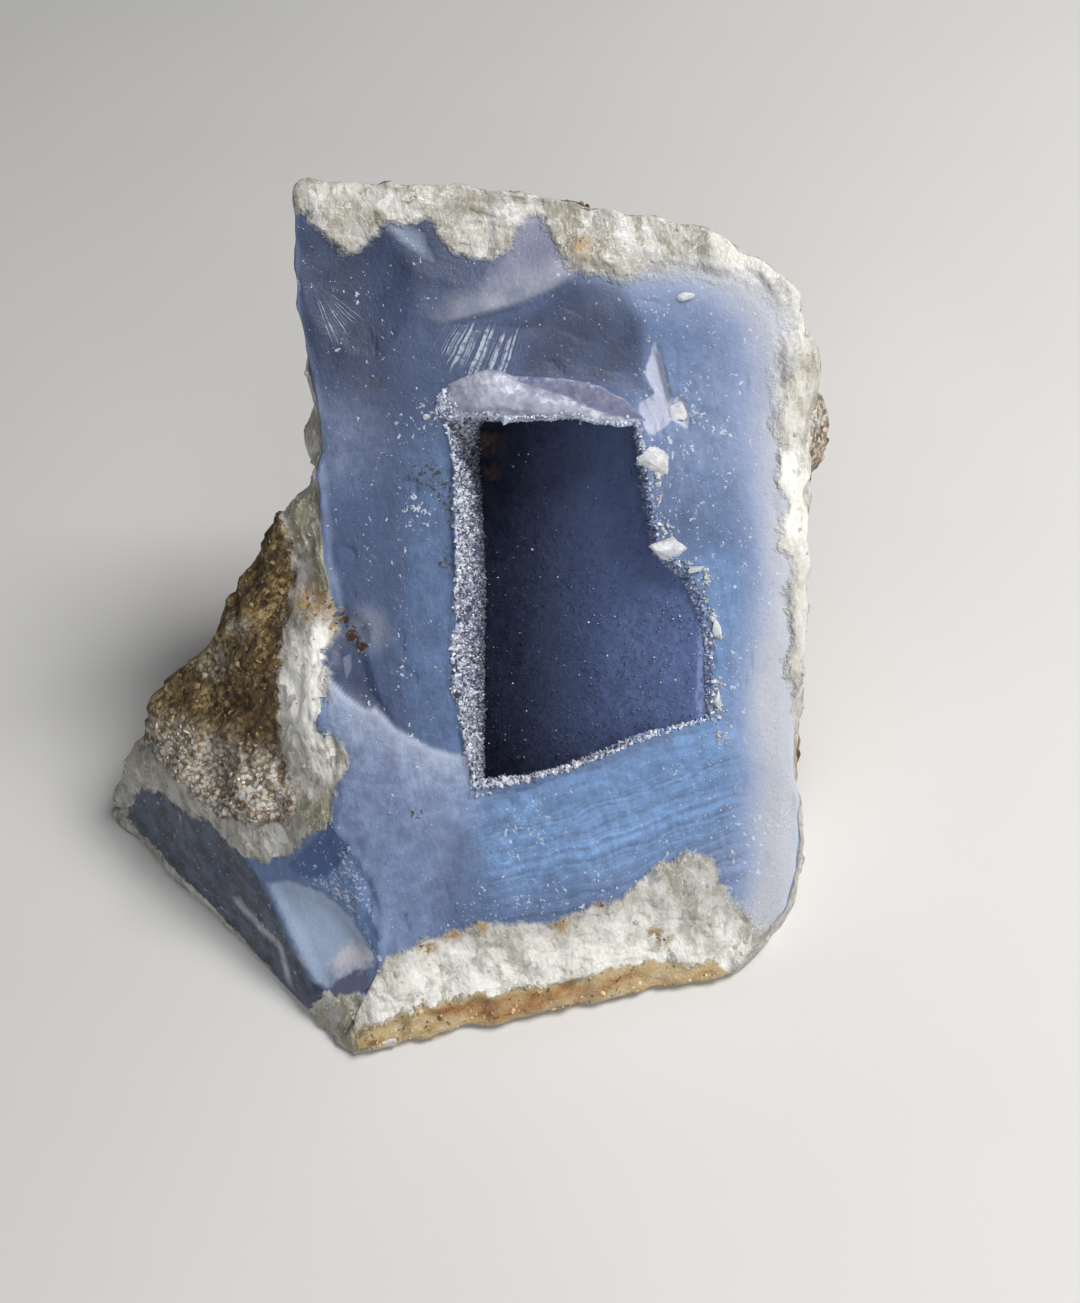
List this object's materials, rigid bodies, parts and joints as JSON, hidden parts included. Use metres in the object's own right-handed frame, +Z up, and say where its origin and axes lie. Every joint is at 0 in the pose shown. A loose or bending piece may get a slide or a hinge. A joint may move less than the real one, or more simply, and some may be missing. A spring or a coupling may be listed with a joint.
{
  "type": "blue lace agate specimen",
  "caption": "Broken wedge of banded blue agate that stands on its flat base, with a slanted hollow lined with fine quartz crystals and a rough brown flank.",
  "frame": {"origin": "middle of the base of the stone's box, on the surface that it stands on", "axes": "+Z up, -Y towards the side that the broken face looks to, +X to the right as seen from there"},
  "size_m": [0.0876, 0.0598, 0.07],
  "materials": {
    "agate": "waxy broken chalcedony, blue with fine paler bands, white quartz rind and rough brown skin",
    "druse": "sugary quartz crystals with small glints"
  },
  "bodies": {
    "root": {"agate": "agate", "druse_crust": "druse"}
  },
  "joints": []
}
